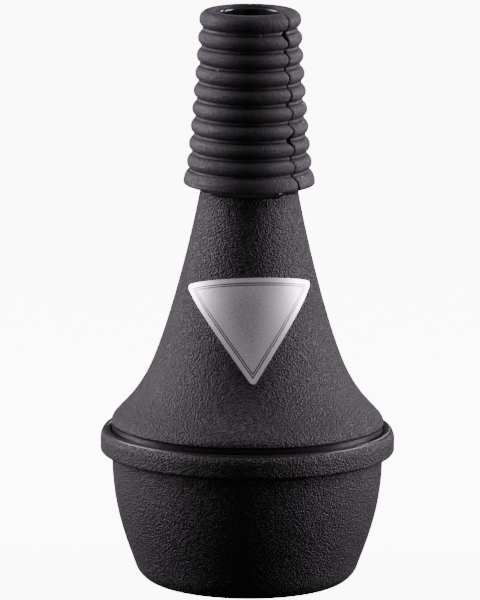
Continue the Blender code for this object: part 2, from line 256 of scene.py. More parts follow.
class Graph:
    """A node tree that is being wired."""

    def __init__(self, tree: bpy.types.NodeTree) -> None:
        """Starts with the tree of a material, a world or a group, emptied."""
        self.tree = tree
        self.tree.nodes.clear()

    def feed(self, target: Socket, value: object) -> None:
        """Sets an input.

        Args:
            target: The input.
            value: The output to link to it, or a plain value.
        """
        if isinstance(value, Socket):
            self.tree.links.new(value, target)
        else:
            target.default_value = value

    def add(self, kind: str, **values: object) -> Node:
        """Adds a node.

        Args:
            kind: The node's Blender type, without ShaderNode or NodeGroup.
            values: Properties of the node, or its inputs by name with _ for a blank.

        Returns:
            The node.
        """
        family = "NodeGroup" if kind in ("Input", "Output") else "ShaderNode"
        node = self.tree.nodes.new(family + kind)
        for key, value in values.items():
            if hasattr(node, key):
                setattr(node, key, value)
            else:
                self.feed(node.inputs[key.replace("_", " ")], value)
        return node

    def group(self, name: str, **values: float) -> Node:
        """Places a shared group with its own values."""
        return self.add("Group", node_tree=bpy.data.node_groups[name], **values)

    def place(self) -> Socket:
        """The point on the surface, in the piece's own frame."""
        return self.add("TexCoord").outputs["Object"]

    def math(self, operation: str, *values: object, kind: str = "Math") -> Socket:
        """Adds a Math or Vector Math node.

        Args:
            operation: Its operation.
            values: Its inputs, as outputs of other nodes or plain values.
            kind: Math for numbers, VectorMath for vectors.

        Returns:
            The result.
        """
        node = self.add(kind, operation=operation)
        for target, value in zip(node.inputs, values):
            self.feed(target, value)
        return node.outputs["Value" if operation == "DOT_PRODUCT" else 0]

    def vector(self, operation: str, *values: object) -> Socket:
        """The same with vectors."""
        return self.math(operation, *values, kind="VectorMath")

    def between(self, value: Socket, low: float, high: float, first: float, last: float) -> Socket:
        """Maps one range to another with soft ends.

        Args:
            value: What is mapped.
            low: Start of its range.
            high: End of its range.
            first: Result at and below the start.
            last: Result at and above the end.

        Returns:
            The mapped value.
        """
        limits = {"From_Min": low, "From_Max": high, "To_Min": first, "To_Max": last}
        node = self.add("MapRange", interpolation_type="SMOOTHSTEP", Value=value, **limits)
        return node.outputs["Result"]

    def mix(self, mask: Socket, low: Colour | Socket, high: Colour | Socket) -> Socket:
        """Mixes two colours.

        Args:
            mask: 0 for the first colour, 1 for the second.
            low: The first colour.
            high: The second colour.

        Returns:
            The mixed colour.
        """
        node = self.add("Mix", data_type="RGBA", Factor=mask)
        for target, colour in zip(node.inputs[6:8], (low, high)):
            self.feed(target, (*colour, 1.0) if isinstance(colour, tuple) else colour)
        return node.outputs[2]


def make_group(name: str, inputs: dict[str, float],
               wire: Callable[[Graph, Node], dict[str, Socket]]) -> None:
    """Builds a shader node group.

    Args:
        name: The group's name.
        inputs: Its value inputs with their defaults.
        wire: Wires it from its input node and gives its outputs by name.
    """
    tree = bpy.data.node_groups.new(name, "ShaderNodeTree")
    for key, default in inputs.items():
        socket = tree.interface.new_socket(key, in_out="INPUT", socket_type="NodeSocketFloat")
        socket.default_value = default
    graph = Graph(tree)
    outputs = wire(graph, graph.add("Input"))
    for key in outputs:
        tree.interface.new_socket(key, in_out="OUTPUT", socket_type="NodeSocketFloat")
    graph.add("Output", **outputs)


def wire_grain(graph: Graph, source: Node) -> dict[str, Socket]:
    """Wires fine grain and, as Patch, the slow change across a piece.

    Args:
        graph: The group.
        source: Its input node.

    Returns:
        Its outputs.
    """
    place = graph.place()
    fine = graph.add("TexNoise", Vector=place, Scale=source.outputs["Fine Scale"], Detail=3.0,
                     Roughness=0.62)
    patch = graph.add("TexNoise", Vector=place, Scale=source.outputs["Patch Scale"], Detail=2.0,
                      Roughness=0.5)
    return {"Fine": fine.outputs["Fac"],
            "Patch": graph.between(patch.outputs["Fac"], 0.32, 0.68, 0.0, 1.0)}


def wire_specks(graph: Graph, source: Node) -> dict[str, Socket]:
    """Wires sparse specks of dust and nicks, where Mask is 1.

    Args:
        graph: The group.
        source: Its input node.

    Returns:
        Its outputs.
    """
    cells = graph.add("TexVoronoi", Vector=graph.place(), Scale=source.outputs["Scale"])
    spot = graph.between(cells.outputs["Distance"], 0.03, 0.16, 1.0, 0.0)
    pick = graph.add("SeparateColor", Color=cells.outputs["Color"]).outputs[0]
    rare = graph.math("GREATER_THAN", pick, source.outputs["Rarity"])
    return {"Mask": graph.math("MULTIPLY", spot, rare)}


@dataclass(frozen=True)
class Finish:
    """A plain finish that the others build on.

    Attributes:
        name: The material's name.
        dark: Colour of dull patches, and painted shade in crackle valleys and the foil's middle.
        pale: Colour of worn patches, and painted light on the crackle coat's domes.
        smoothest: Roughness where it shines most.
        dullest: Roughness where it shines least.
        metallic: 0 for paint and rubber, 1 for bare metal.
        ior: Index of refraction.
        fine_scale: Grain, in cycles per metre.
        depth: Height of the relief.
    """

    name: str
    dark: Colour
    pale: Colour
    smoothest: float
    dullest: float
    metallic: float = 0.0
    ior: float = 1.5
    fine_scale: float = 2500.0
    depth: float = 0.00004

    def build(self) -> Material:
        """Makes the material.

        Returns:
            The material, fully wired.
        """
        material = bpy.data.materials.new(self.name)
        material.use_nodes = True
        graph = Graph(material.node_tree)
        surface = {"Metallic": self.metallic, "IOR": self.ior, **self.dress(graph)}
        bump = graph.add("Bump", Distance=self.depth, Strength=1.0, Height=surface.pop("Height"))
        shader = graph.add("BsdfPrincipled", Normal=bump.outputs[0], **surface)
        graph.add("OutputMaterial", Surface=shader.outputs[0])
        return material

    def grain(self, graph: Graph) -> Node:
        """Places the shared grain."""
        return graph.group("grain", Fine_Scale=self.fine_scale)

    def dress(self, graph: Graph) -> dict[str, Socket]:
        """Wires colour, roughness and relief from the shared grain.

        Args:
            graph: The material's tree.

        Returns:
            The shader's inputs, with Height for the relief.
        """
        grain = self.grain(graph)
        patch = grain.outputs["Patch"]
        return {"Base_Color": graph.mix(patch, self.dark, self.pale),
                "Roughness": graph.between(patch, 0.0, 1.0, self.smoothest, self.dullest),
                "Height": grain.outputs["Fine"]}


@dataclass(frozen=True)
class CrackleCoat(Finish):
    """Wrinkled black baked coat, which lies smooth and glossy in one band of heights.

    Attributes:
        cell_scale: Wrinkles, in cells per metre.
        wander: How far the wrinkles wander.
        wander_scale: Their wandering, in cycles per metre.
        smooth_from: Height where the coat starts to lie smooth.
        smooth_to: Height where it wrinkles again.
        blend: Half the height over which it changes.
        traces: Share of the relief that is left in the band.
        grain_share: Height of the grain on the wrinkles.
    """

    cell_scale: float = 1900.0
    wander: float = 0.0008
    wander_scale: float = 700.0
    smooth_from: float = 0.0
    smooth_to: float = 0.0
    blend: float = 0.0003
    traces: float = 0.08
    grain_share: float = 0.7

    def wrinkles(self, graph: Graph, place: Socket) -> Socket:
        """Wires domes between fine valleys, warped so that they join in worms.

        Args:
            graph: The material's tree.
            place: The point on the surface.

        Returns:
            The domes' height, from 0 to 1.
        """
        noisy = graph.add("TexNoise", Vector=place, Scale=self.wander_scale, Detail=2.0)
        centred = graph.vector("SUBTRACT", noisy.outputs["Color"], (0.5, 0.5, 0.5))
        moved = graph.vector("MULTIPLY_ADD", centred, (self.wander,) * 3, place)
        cells = graph.add("TexVoronoi", feature="SMOOTH_F1", Vector=moved,
                          Scale=self.cell_scale, Smoothness=0.35)
        return graph.between(cells.outputs["Distance"], 0.12, 0.72, 1.0, 0.0)

    def dress(self, graph: Graph) -> dict[str, Socket]:
        """Wires the wrinkles and the smooth band.

        Args:
            graph: The material's tree.

        Returns:
            The shader's inputs, with Height for the relief.
        """
        place = graph.place()
        domes = self.wrinkles(graph, place)
        grain = self.grain(graph)
        level = graph.add("SeparateXYZ", Vector=place).outputs["Z"]
        below, above = (graph.between(level, end - self.blend, end + self.blend, start, 1 - start)
                        for end, start in ((self.smooth_from, 1.0), (self.smooth_to, 0.0)))
        wrinkled = graph.math("MAXIMUM", below, above)
        fine = graph.math("MULTIPLY", grain.outputs["Fine"], self.grain_share)
        worn = graph.between(grain.outputs["Patch"], 0.0, 1.0, 0.75, 1.0)
        # Colour: painted shade in the wrinkles' valleys and painted light on their domes, dimmed at
        # random in patches.
        return {"Base_Color": graph.mix(graph.math("MULTIPLY", domes, worn), self.dark, self.pale),
                "Roughness": graph.between(wrinkled, 0.0, 1.0, self.smoothest, self.dullest),
                "Height": graph.math("MULTIPLY", graph.math("ADD", domes, fine),
                                     graph.math("MAXIMUM", wrinkled, self.traces))}


@dataclass(frozen=True)
class MouldedRubber(Finish):
    """Dull moulded rubber with handling dust.

    Attributes:
        speck: Colour of the dust and nicks.
        speck_scale: Cells per metre that may hold a speck.
        rarity: Share of the cells that hold none.
        ring_scale: Faint rings from the mould, in cycles per metre up the sleeve.
        ring_stretch: Their scale round the sleeve beside that up it.
        ring_share: Their height beside the grain's.
        speck_share: Height of a speck beside the grain's.
    """

    speck: Colour = (0.30, 0.30, 0.30)
    speck_scale: float = 330.0
    rarity: float = 0.955
    ring_scale: float = 1500.0
    ring_stretch: float = 0.12
    ring_share: float = 0.8
    speck_share: float = 0.6

    def dress(self, graph: Graph) -> dict[str, Socket]:
        """Wires grain, faint rings from the mould and pale specks.

        Args:
            graph: The material's tree.

        Returns:
            The shader's inputs, with Height for the relief.
        """
        grain = self.grain(graph)
        specks = graph.group("specks", Scale=self.speck_scale, Rarity=self.rarity).outputs["Mask"]
        plain = graph.mix(grain.outputs["Patch"], self.dark, self.pale)
        stretch = (self.ring_stretch, self.ring_stretch, 1.0)
        drawn = graph.vector("MULTIPLY", graph.place(), stretch)
        rings = graph.add("TexNoise", Vector=drawn, Scale=self.ring_scale, Detail=2.0)
        height = grain.outputs["Fine"]
        for part, share in ((rings.outputs["Fac"], self.ring_share), (specks, self.speck_share)):
            height = graph.math("ADD", height, graph.math("MULTIPLY", part, share))
        return {"Base_Color": graph.mix(specks, plain, self.speck),
                "Roughness": graph.between(height, 0.6, 1.2, self.smoothest, self.dullest),
                "Height": height}


@dataclass(frozen=True)
class PlateOutline:
    """The flat triangle that the plate and its printed border share.

    Attributes:
        half: Half of its width, corner to corner before rounding.
        height: Its height, top edge to rounded tip.
        tip: Depth of its point before rounding.
        span: Metres that the flat map covers.
        across: Where its middle lies across the map.
        up: Where its top edge lies up the map.
    """

    half: float = 0.02105
    height: float = 0.0302
    tip: float = 0.0313174
    span: float = 0.05
    across: float = 0.5
    up: float = 0.8


PLATE = PlateOutline()


@dataclass(frozen=True)
class BrushedFoil(Finish):
    """Silver foil with a plain printed border, read from the plate's own flat map.

    Attributes:
        line: Colour of the border lines.
        margin: Colour of the bare margin outside them.
        margin_ends: Distances from the edge between which the brushed field starts.
        lines: First and last distance from the edge of each border line.
        soft: Half the width of a printed edge.
        brushing: Strokes across and up the map.
    """

    line: Colour = (0.02, 0.02, 0.022)
    margin: Colour = (0.97, 0.97, 0.97)
    margin_ends: Point = (0.0013, 0.0015)
    lines: tuple[Point, Point] = ((0.00135, 0.00165), (0.00195, 0.00222))
    soft: float = 0.00004
    brushing: Point = (55.0, 110.0)

    def inset(self, graph: Graph, flat: Socket) -> Socket:
        """Wires the distance from the nearest side of the plate.

        Args:
            graph: The material's tree.
            flat: The plate's flat map.

        Returns:
            The distance, in metres.
        """
        metres = graph.vector("MULTIPLY_ADD", flat, (PLATE.span, PLATE.span, 0.0),
                              (-PLATE.across * PLATE.span, -PLATE.up * PLATE.span, 0.0))
        lean = math.atan2(PLATE.half, PLATE.tip)
        away = PLATE.half * math.cos(lean)
        sides = ((0.0, -1.0, 0.0), (-math.cos(lean), math.sin(lean), away),
                 (math.cos(lean), math.sin(lean), away))
        top, left, right = (
            graph.math("ADD", graph.vector("DOT_PRODUCT", metres, (across, up, 0.0)), start)
            for across, up, start in sides)
        return graph.math("MINIMUM", graph.math("MINIMUM", top, left), right)

    def band(self, graph: Graph, inset: Socket, low: float, high: float) -> Socket:
        """Masks a printed line.

        Args:
            graph: The material's tree.
            inset: Distance from the plate's edge.
            low: Where the line starts.
            high: Where it ends.

        Returns:
            1 on the line and 0 beside it.
        """
        rise = graph.between(inset, low - self.soft, low + self.soft, 0.0, 1.0)
        fall = graph.between(inset, high - self.soft, high + self.soft, 1.0, 0.0)
        return graph.math("MULTIPLY", rise, fall)

    def dress(self, graph: Graph) -> dict[str, Socket]:
        """Wires the margin, the border lines and the brushed field, darker to the middle.

        Args:
            graph: The material's tree.

        Returns:
            The shader's inputs, with Height for the relief.
        """
        flat = graph.add("UVMap", uv_map="flat").outputs[0]
        inset = self.inset(graph, flat)
        drawn = graph.vector("MULTIPLY", flat, (*self.brushing, 1.0))
        strokes = graph.add("TexNoise", Vector=drawn, Scale=1.0, Detail=3.0).outputs["Fac"]
        # Painted shade: the brushed field is darkened towards the plate's middle.
        painted_dark_middle = graph.between(inset, 0.0026, 0.0085, 0.0, 1.0)
        streak = graph.between(strokes, 0.3, 0.7, 0.0, 0.5)
        # Brushing strokes plus the painted shade towards the middle set the foil's colour and
        # roughness.
        strokes_and_painted_shade = graph.math("ADD", streak, graph.math("MULTIPLY", painted_dark_middle, 0.5))
        in_field = graph.between(inset, *self.margin_ends, 0.0, 1.0)
        bare = graph.mix(in_field, self.margin, graph.mix(strokes_and_painted_shade, self.pale, self.dark))
        outer, inner = (self.band(graph, inset, low, high) for low, high in self.lines)
        printed = graph.math("MAXIMUM", outer, inner)
        grain = graph.math("MULTIPLY", self.grain(graph).outputs["Fine"], 0.5)
        return {"Base_Color": graph.mix(printed, bare, self.line),
                "Metallic": graph.between(printed, 0.0, 1.0, self.metallic, 0.0),
                "Roughness": graph.between(strokes_and_painted_shade, 0.0, 1.0, self.smoothest, self.dullest),
                "Height": graph.math("ADD", strokes, grain)}


# Metal body

@dataclass
class SpunBody:
    """The cone and the cup, with the rolled rim that joins them.

    A pull is the length of a curve's handle, and an angle is in degrees.

    Attributes:
        coat: The cup's coat.
        trim: The cone's coat, smooth on the skirt.
        vent_hole: Radius of the hole in the middle of the base.
        dish_radius: Radius of the hollow round it.
        dish_depth: Height of the hollow over the floor.
        dish_slope: Width of its sloping edge.
        dish_edge: Radius of the bends at both ends of the slope.
        dish_foot: Width of the bend at the slope's foot.
        base_flat: Radius of the flat that the mute stands on.
        base_corner: Radius of the corner from the base to the wall.
        wall_tilt: How far the wall leans out above the corner.
        low_pull: Pull on the wall at the corner.
        high_pull: Pull on the wall under the rim.
        cup_height: Height of the rim's underside.
        cup_radius: Radius of the wall under the rim.
        inner_bend: Radius of the bend from the wall to the rim's underside.
        lower_edge: Radius of the rim's lower edge.
        rim_face: Height of the rim's upright face.
        shoulder: Radius of the rim's shoulder.
        shoulder_turn: How far the shoulder turns in.
        lip_edge: Radius of the lip's edge.
        lip_fall: How far the lip dips towards the skirt.
        lip_room: Room between the lip and the skirt.
        flange_width: How far the cone's flange reaches under the lip.
        skirt: Radius at the top of the skirt, where the cone is widest.
        skirt_rise: Height of that place over the rim.
        skirt_bend: Radius of the bend from the skirt to the flange.
        skirt_step: How far the straight skirt stands in from its top.
        shoulder_pull: Pull on the flare at the top of the skirt.
        flare_radius: Radius in the middle of the flare.
        flare_rise: Height of that place over the top of the skirt.
        flare_angle: How far the cone leans there.
        flare_low_pull: Pull on the curve below it.
        flare_high_pull: Pull on the curve above it.
        cone_top: Radius at the sleeve's foot.
        cone_top_angle: How far the cone leans there.
        cone_top_pull: Pull on the cone there.
        neck_top: Radius of the neck's end.
        neck_top_angle: How far the neck leans there.
        neck_pull: Pull on the neck at both ends.
    """

    coat: Material
    trim: Material
    vent_hole: float = 0.0025
    dish_radius: float = 0.0110
    dish_depth: float = 0.0012
    dish_slope: float = 0.0014
    dish_edge: float = 0.0007
    dish_foot: float = 0.0004
    base_flat: float = 0.02485
    base_corner: float = 0.00744
    wall_tilt: float = 19.9
    low_pull: float = 0.0074
    high_pull: float = 0.0150
    cup_height: float = 0.0377
    cup_radius: float = 0.03868
    inner_bend: float = 0.0010
    lower_edge: float = 0.0011
    rim_face: float = 0.0030
    shoulder: float = 0.0042
    shoulder_turn: float = 36.0
    lip_edge: float = 0.0011
    lip_fall: float = 25.0
    lip_room: float = 0.00025
    flange_width: float = 0.00145
    skirt: float = 0.03895
    skirt_rise: float = 0.0016
    skirt_bend: float = 0.0003
    skirt_step: float = 0.00018
    shoulder_pull: float = 0.0031
    flare_radius: float = 0.02833
    flare_rise: float = 0.0153
    flare_angle: float = 26.1
    flare_low_pull: float = 0.01184
    flare_high_pull: float = 0.01026
    cone_top: float = 0.01367
    cone_top_angle: float = 9.83
    cone_top_pull: float = 0.0190
    neck_top: float = 0.00985
    neck_top_angle: float = 3.2
    neck_pull: float = 0.0090

    def __post_init__(self) -> None:
        """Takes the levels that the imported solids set."""
        self.rim_radius, _, self.rim_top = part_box("bottom_cup")[1]
        self.sleeve_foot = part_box("ribbed_sleeve")[0][2]
        self.neck_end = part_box("body_cone")[1][2]
        self.flange_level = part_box("body_cone")[0][2] + TURNING.sheet
        self.skirt_top = self.rim_top + self.skirt_rise
        self.flare = (self.flare_radius, self.skirt_top + self.flare_rise)

    def base_outside(self) -> list[Point]:
        """Outer face of the base.

        Returns:
            The points from the vent hole, down the edge of the dish, to the wall.
        """
        ring = self.dish_radius + self.dish_slope + self.dish_foot
        path = [(self.vent_hole, self.dish_depth)]
        path += arc((self.dish_radius, self.dish_depth - self.dish_edge), self.dish_edge, 90, 45, 4)
        path += arc((ring, self.dish_edge), self.dish_edge, 225, 270, 4)
        return path + arc((self.base_flat, self.base_corner), self.base_corner, -90,
                          -self.wall_tilt, 20)

    def cup_outside(self) -> list[Point]:
        """Outer face of the cup.

        Returns:
            The points from the vent hole to the end of the rim's lip.
        """
        path = self.base_outside()
        foot = path[-1]
        bend = (self.cup_radius, self.cup_height - self.inner_bend)
        path += curve(foot, step_along(foot, 90 - self.wall_tilt, self.low_pull),
                      (bend[0], bend[1] - self.high_pull), bend, 36)
        path += arc((bend[0] + self.inner_bend, bend[1]), self.inner_bend, 180, 90, 8)
        edge = (self.rim_radius - self.lower_edge, self.cup_height + self.lower_edge)
        path += arc(edge, self.lower_edge, -90, 0, 10)
        path += arc((self.rim_radius - self.shoulder, edge[1] + self.rim_face), self.shoulder, 0,
                    self.shoulder_turn, 12)
        lip = step_along(path[-1], self.shoulder_turn + 180, self.lip_edge)
        path += arc(lip, self.lip_edge, self.shoulder_turn, 90 + self.lip_fall, 10)
        reach = path[-1][0] - self.skirt - self.lip_room
        path.append(step_along(path[-1], 180 + self.lip_fall,
                               reach / math.cos(math.radians(self.lip_fall))))
        return tidy(path)

    def neck_outside(self) -> list[Point]:
        """Outer face of the neck.

        Returns:
            The points from its end to the sleeve's foot.
        """
        end, foot = (self.neck_top, self.neck_end), (self.cone_top, self.sleeve_foot)
        return curve(end, step_along(end, self.neck_top_angle - 90, self.neck_pull),
                     step_along(foot, self.cone_top_angle + 90, self.neck_pull), foot, 24)

    def cone_outside(self) -> list[Point]:
        """Outer face of the cone.

        Returns:
            The points from the sleeve's foot to the top of the skirt.
        """
        foot, skirt = (self.cone_top, self.sleeve_foot), (self.skirt, self.skirt_top)
        path = curve(foot, step_along(foot, self.cone_top_angle - 90, self.cone_top_pull),
                     step_along(self.flare, self.flare_angle + 90, self.flare_high_pull),
                     self.flare, 40)
        path += curve(self.flare,
                      step_along(self.flare, self.flare_angle - 90, self.flare_low_pull),
                      (skirt[0], skirt[1] + self.shoulder_pull), skirt, 40)
        return tidy(path)

    def cone_section(self) -> list[Point]:
        """Section of the neck, the cone, the skirt and the flange in the rim.

        Returns:
            The outer face from the neck's end to the flange, and the inner face back.
        """
        wall, edge = self.skirt - self.skirt_step, self.skirt + self.flange_width
        outside = self.neck_outside() + self.cone_outside()[1:]
        outside += arc((wall, self.skirt_top - self.skirt_step), self.skirt_step, 0, -90, 4)[1:]
        outside += arc((wall + self.skirt_bend, self.flange_level + self.skirt_bend),
                       self.skirt_bend, 180, 270, 4)
        outside.append((edge, self.flange_level))
        outside = tidy(outside)
        inside = beside([p for p in outside if p[1] > self.skirt_top], -TURNING.sheet)
        below = self.flange_level - TURNING.sheet
        inner = wall - TURNING.sheet
        inside += [(inner, self.skirt_top), (inner, below), (edge, below)]
        return outside + inside[::-1]

    def build(self) -> list[Piece]:
        """Turns the cone and the cup.

        Returns:
            The two pieces.
        """
        outside = self.cup_outside()
        cup = section_ring(outside + beside(outside, TURNING.sheet)[::-1], TURNING.steps)
        cone = section_ring(self.cone_section(), TURNING.steps)
        return [finished("spun_cone", cone, self.trim, "body_cone", Shading.CRISP),
                finished("spun_cup", cup, self.coat, "bottom_cup", Shading.CRISP)]


# Rubber sleeve

@dataclass
class Sleeve:
    """Ribbed rubber strip wrapped round the neck, with its wavy butt seam.

    Attributes:
        rubber: Its finish.
        body: The spun body, for the neck that it lies on.
        steps: Facets round it.
        ribs: How many ribs it has.
        rib_height: How far they stand out of the valleys.
        rib_half_width: Half of a rib's width.
        crease: Depth of the crease at each root of a rib.
        pitch: From rib to rib.
        lowest: Height of the lowest rib's middle above the foot.
        bead: Radius of the bead at the mouth.
        mouth_round: Radius of the mouth's inner edge.
        mouth_drop: How far under the top its centre lies.
        flange: Height of the flange at the foot.
        flange_edge: Radius of its lower edge.
        flange_proud: How far it stands out beyond the ribs.
        wall_top: Wall in the valleys at the mouth.
        wall_foot: Wall in the valleys at the foot.
        seam_azimuth: Where the seam lies, in degrees.
        seam_reach: How far round the seam's waves pull the rubber.
        lip_round: Depth and width of the rounding of the seam's two lips.
        crowd: How strongly the facets crowd towards the seam.
        ripple: Height of the uneven surface.
        ripple_scale: Its scale round the sleeve and up it.
        even: Depth of rubber on the neck that it leaves even.
        seam: The seam from the foot up, as height above the foot, sideways offset and gap,
            in millimetres, because a knife cut follows no formula.
    """

    rubber: Material
    body: SpunBody
    steps: int = 240
    ribs: int = 8
    rib_height: float = 0.0011
    rib_half_width: float = 0.0020
    crease: float = 0.00026
    pitch: float = 0.00506
    lowest: float = 0.0067
    bead: float = 0.0027
    mouth_round: float = 0.0005
    mouth_drop: float = 0.0006
    flange: float = 0.0041
    flange_edge: float = 0.00055
    flange_proud: float = 0.0001
    wall_top: float = 0.0032
    wall_foot: float = 0.0036
    seam_azimuth: float = -41.5
    seam_reach: float = 0.0022
    lip_round: float = 0.00028
    crowd: float = 0.88
    ripple: float = 0.00007
    ripple_scale: Point = (2.2, 260.0)
    even: float = 0.0015
    seam: tuple[tuple[float, float, float], ...] = (
        (-1.0, 0.1, 0.5), (2.4, 0.0, 0.4), (3.8, -0.9, 0.5), (6.9, -0.4, 0.2), (8.9, -0.9, 0.5),
        (11.7, -0.1, 0.25), (14.6, -1.3, 1.7), (17.1, 0.1, 0.25), (18.7, -0.9, 0.3),
        (20.0, -0.5, 0.25), (22.3, 0.1, 0.2), (24.2, -1.0, 0.6), (27.4, 0.0, 0.3),
        (30.2, -0.7, 0.25), (32.5, -0.5, 0.35), (34.2, -1.3, 0.6), (35.9, -0.7, 0.25),
        (37.7, -0.3, 0.3), (39.7, -0.9, 0.8), (41.3, -0.2, 0.3), (44.1, -1.0, 1.6),
        (46.1, 0.0, 0.3), (47.8, 0.4, 0.25), (51.0, 0.0, 0.3))

    def __post_init__(self) -> None:
        """Takes the sleeve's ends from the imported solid."""
        low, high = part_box("ribbed_sleeve")
        self.foot, self.top = low[2], high[2]
        self.neck = self.body.neck_outside()

    def valley(self, height: float) -> float:
        """Radius of the valleys.

        Args:
            height: Where up the sleeve.

        Returns:
            The radius there.
        """
        share = (self.top - height) / (self.top - self.foot)
        wall = self.wall_top + (self.wall_foot - self.wall_top) * share
        return radius_at(self.neck, height) + TURNING.gap + wall

    def rib(self, middle: float) -> list[Point]:
        """Outline of one rib between its two creases.

        Args:
            middle: Height of its middle.

        Returns:
            The points, its upper edge first.
        """
        radius = (self.rib_half_width ** 2 + self.rib_height ** 2) / (2 * self.rib_height)
        half = math.degrees(math.asin(self.rib_half_width / radius))
        lean = self.valley(middle - self.rib_half_width) - self.valley(middle)
        centre = (self.valley(middle) + self.rib_height - radius, middle)
        points = [(r - lean * (z - middle) / self.rib_half_width, z)
                  for r, z in arc(centre, radius, half, -half, 14)]
        (r0, z0), (r1, z1) = points[0], points[-1]
        return ([(r0, z0 + self.crease), (r0 - self.crease, z0)] + points[1:-1]
                + [(r1 - self.crease, z1), (r1, z1 - self.crease)])

    def flange_outside(self) -> list[Point]:
        """Outer face of the flange.

        Returns:
            The points from the lowest valley to the foot.
        """
        shoulder, steps = self.foot + self.flange, 12
        inner = self.valley(shoulder)
        outer = self.valley(self.foot) + self.rib_height + self.flange_proud
        path = []
        for i in range(steps + 1):
            turn = math.radians(90 * i / steps)
            fall = (self.flange - self.flange_edge) * (1 - math.cos(turn))
            path.append((inner + (outer - inner) * math.sin(turn), shoulder - fall))
        edge = (outer - self.flange_edge, self.foot + self.flange_edge)
        return path + arc(edge, self.flange_edge, 0, -90, 6)

    def outline(self) -> list[Point]:
        """Outer face of the sleeve.

        Returns:
            The points from the mouth's inner edge to the foot.
        """
        bore = self.body.neck_top + TURNING.gap
        level = self.top - self.bead
        bead = (self.valley(level) + self.rib_height - self.bead, level)
        end = -math.degrees(math.acos((self.bead - self.rib_height) / self.bead))
        mouth = (bore + self.mouth_round, self.top - self.mouth_drop)
        path = arc(mouth, self.mouth_round, 180, 100, 5) + arc(bead, self.bead, 92, end, 22)
        for i in reversed(range(self.ribs)):
            path += self.rib(self.foot + self.lowest + self.pitch * i)
        return tidy(path + self.flange_outside())

    def seam_at(self, height: float) -> Point:
        """Where the seam runs.

        Args:
            height: Where up the sleeve.

        Returns:
            Its sideways offset and half of its gap, in metres.
        """
        rise = (height - self.foot) * 1000
        index = max(i for i, knot in enumerate(self.seam[:-1]) if knot[0] <= rise)
        (z0, offset0, gap0), (z1, offset1, gap1) = self.seam[index:index + 2]
        t = smooth(z0, z1, rise)
        return (offset0 + (offset1 - offset0) * t) / 1000, (gap0 + (gap1 - gap0) * t) / 2000

    def unroll(self, bm: BMesh) -> None:
        """Lays the open turn out flat: x is the radius and y the share of the turn.

        The second end's share is 1, told from the first by the faces that it bounds.

        Args:
            bm: The turned sleeve, which is changed.
        """
        for vert in bm.verts:
            share = (math.atan2(vert.co.y, vert.co.x) % math.tau) / math.tau
            vert.co = (math.hypot(vert.co.x, vert.co.y), share, vert.co.z)
        for face in bm.faces:
            if len(face.verts) == 4 and max(vert.co.y for vert in face.verts) > 0.9:
                for vert in face.verts:
                    if vert.co.y < 0.1:
                        vert.co.y = 1.0

    def build(self) -> list[Piece]:
        """Turns the sleeve open at the seam, then rolls it up again along the wavy cut.

        Returns:
            The piece.
        """
        bore = [(r + TURNING.gap, z) for r, z in self.neck]
        bm = section_ring(self.outline() + bore[::-1], self.steps, whole=False)
        self.unroll(bm)
        start = math.radians(self.seam_azimuth)
        for vert in bm.verts:
            reach, share, z = vert.co
            eased = share - self.crowd * math.sin(math.tau * share) / math.tau
            side = 1.0 if share < 0.5 else -1.0
            away = min(eased, 1 - eased) * math.tau * reach
            offset, half_gap = self.seam_at(z)
            pull = math.exp(-away / self.seam_reach)
            turn = start + eased * math.tau + (offset + side * half_gap) * pull / reach
            dip = self.lip_round * math.exp(-away / self.lip_round)
            spot = polar(self.ripple_scale[0], turn, z * self.ripple_scale[1])
            if reach > radius_at(self.neck, z) + self.even:
                reach += self.ripple * noise.noise(spot) - dip
            vert.co = polar(reach, turn, z)
        return [finished("rubber_sleeve", bm, self.rubber, "ribbed_sleeve")]


# Small turned pieces

@dataclass(frozen=True)
class PlainRing:
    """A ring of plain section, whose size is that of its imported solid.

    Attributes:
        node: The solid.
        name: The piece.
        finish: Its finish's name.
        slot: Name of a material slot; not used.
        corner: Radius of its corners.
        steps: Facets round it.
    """

    node: str
    name: str
    finish: str
    slot: str
    corner: float
    steps: int

    def section(self) -> list[Point]:
        """Its section.

        Returns:
            A rectangle with round corners.
        """
        low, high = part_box(self.node)
        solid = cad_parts[self.node].data.vertices
        inner = min(math.hypot(vert.co.x, vert.co.y) for vert in solid) + self.corner
        outer, bottom, top = high[0] - self.corner, low[2] + self.corner, high[2] - self.corner
        corners = ((outer, bottom, -90), (outer, top, 0), (inner, top, 90), (inner, bottom, 180))
        return [point for r, z, start in corners
                for point in arc((r, z), self.corner, start, start + 90, 6)]


